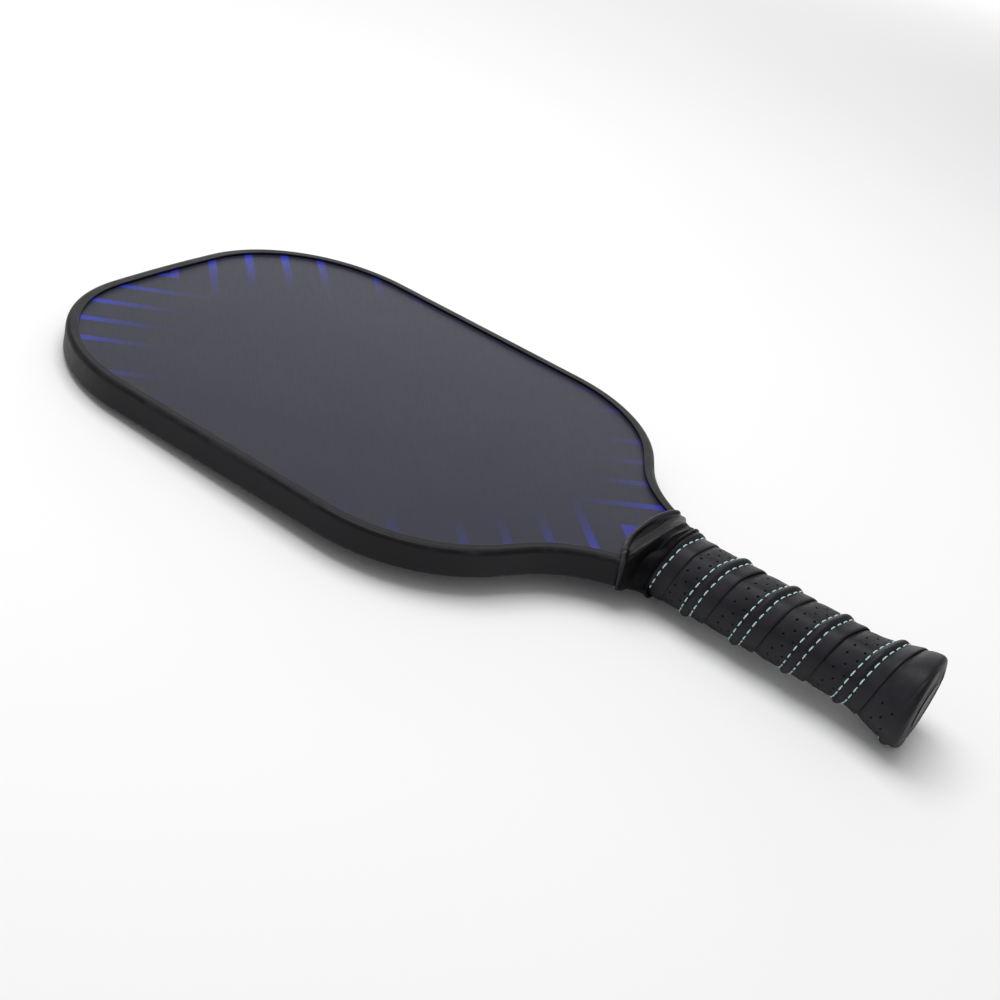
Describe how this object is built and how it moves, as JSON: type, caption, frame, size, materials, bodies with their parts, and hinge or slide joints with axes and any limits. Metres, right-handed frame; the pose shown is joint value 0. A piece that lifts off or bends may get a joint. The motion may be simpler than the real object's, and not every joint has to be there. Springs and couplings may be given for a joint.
{
  "type": "pickleball paddle",
  "caption": "Wide-body racket with a honeycomb core between flat faces, a vinyl edge guard, and a short handle in a ribbed, stitched spiral wrap.",
  "frame": {"origin": "middle of the paddle's bounding box: halfway along it, halfway across it and halfway through it", "axes": "+X across the face, +Y from the butt end to the tip of the head, +Z out of the front face"},
  "size_m": [0.203, 0.4, 0.0382],
  "materials": {
    "core_polymer": "matt, hot-formed honeycomb",
    "graphite_face": "satin lacquered graphite sheet with printed blue stripes",
    "guard_vinyl": "satin extruded vinyl",
    "pallet_foam": "moulded rigid foam",
    "cap_plastic": "moulded, fine texture",
    "badge_plastic": "plain, semi-gloss",
    "staple_steel": "drawn wire",
    "wrap_synthetic_leather": "matt polyurethane skin, perforated",
    "cord_fibre": "twisted fibre",
    "aqua_thread": "twisted polyester thread",
    "tape_vinyl": "smooth vinyl",
    "collar_rubber": "smooth, semi-gloss"
  },
  "bodies": {
    "root": {"honeycomb_core": "core_polymer", "front_face_sheet": "graphite_face", "back_face_sheet": "graphite_face", "edge_guard": "guard_vinyl", "front_handle_pallet": "pallet_foam", "back_handle_pallet": "pallet_foam", "butt_cap": "cap_plastic", "butt_cap_badge": "badge_plastic", "front_cap_staple": "staple_steel", "back_cap_staple": "staple_steel", "grip_wrap": "wrap_synthetic_leather", "grip_rib_cord": "cord_fibre", "upper_rib_stitching": "aqua_thread", "lower_rib_stitching": "aqua_thread", "finishing_tape": "tape_vinyl", "rubber_collar": "collar_rubber"}
  },
  "joints": []
}
